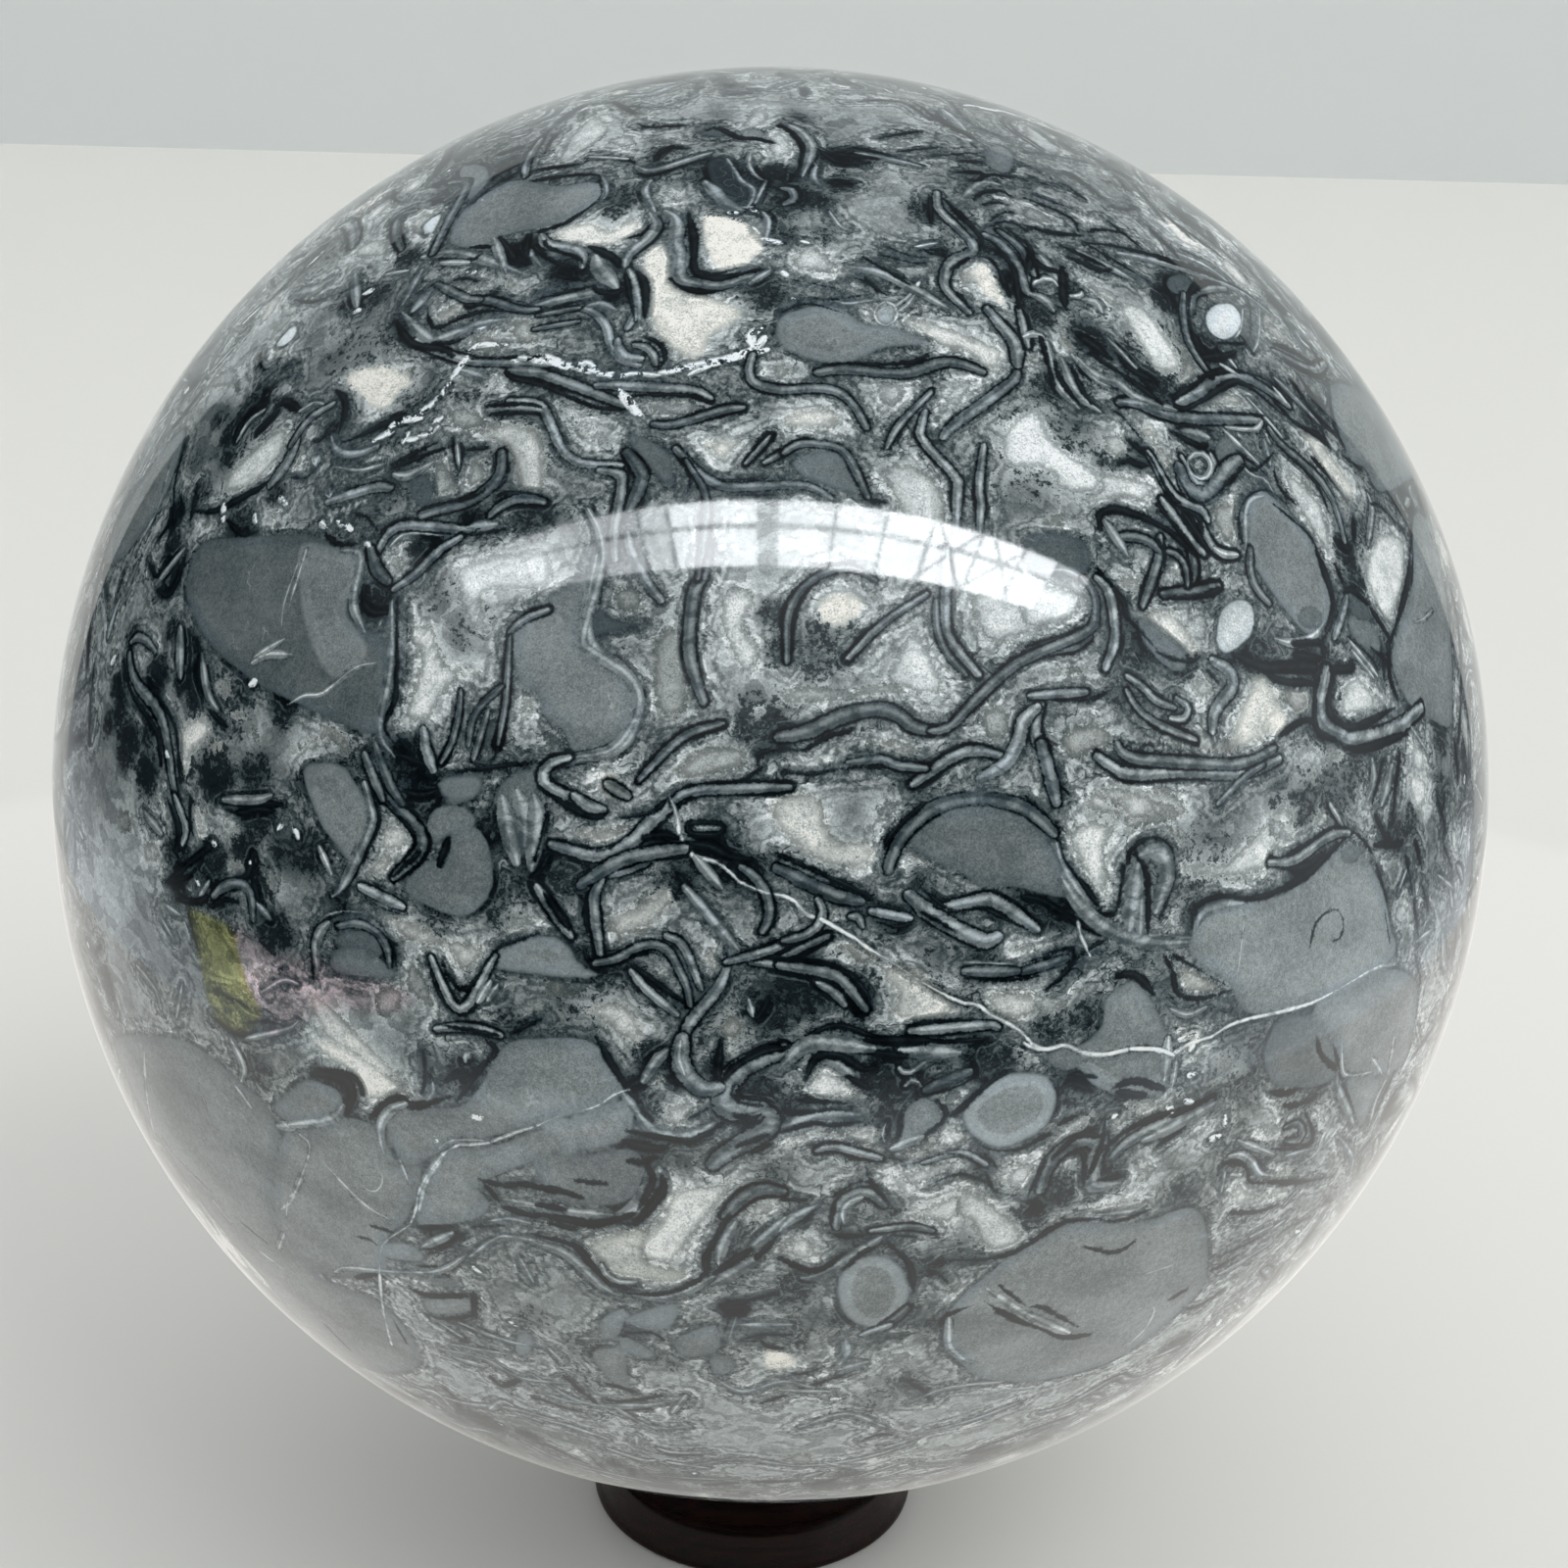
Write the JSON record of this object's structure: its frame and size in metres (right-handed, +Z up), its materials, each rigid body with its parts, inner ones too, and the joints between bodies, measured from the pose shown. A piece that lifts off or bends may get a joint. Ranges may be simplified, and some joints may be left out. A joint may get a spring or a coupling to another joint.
{
  "type": "polished stone sphere on a stand",
  "caption": "Polished grey, black and white swirl-patterned stone sphere resting in a small dark turned wooden stand.",
  "frame": {"origin": "centre of the stand's underside, on the surface that it stands on", "axes": "+Z up along the axis of the stand and through the sphere's centre; the side in the picture faces -Y"},
  "size_m": [0.1, 0.1, 0.1097],
  "materials": {
    "stone": "polished",
    "dark_wood": "satin"
  },
  "bodies": {
    "root": {"sphere": "stone", "stand": "dark_wood"}
  },
  "joints": []
}
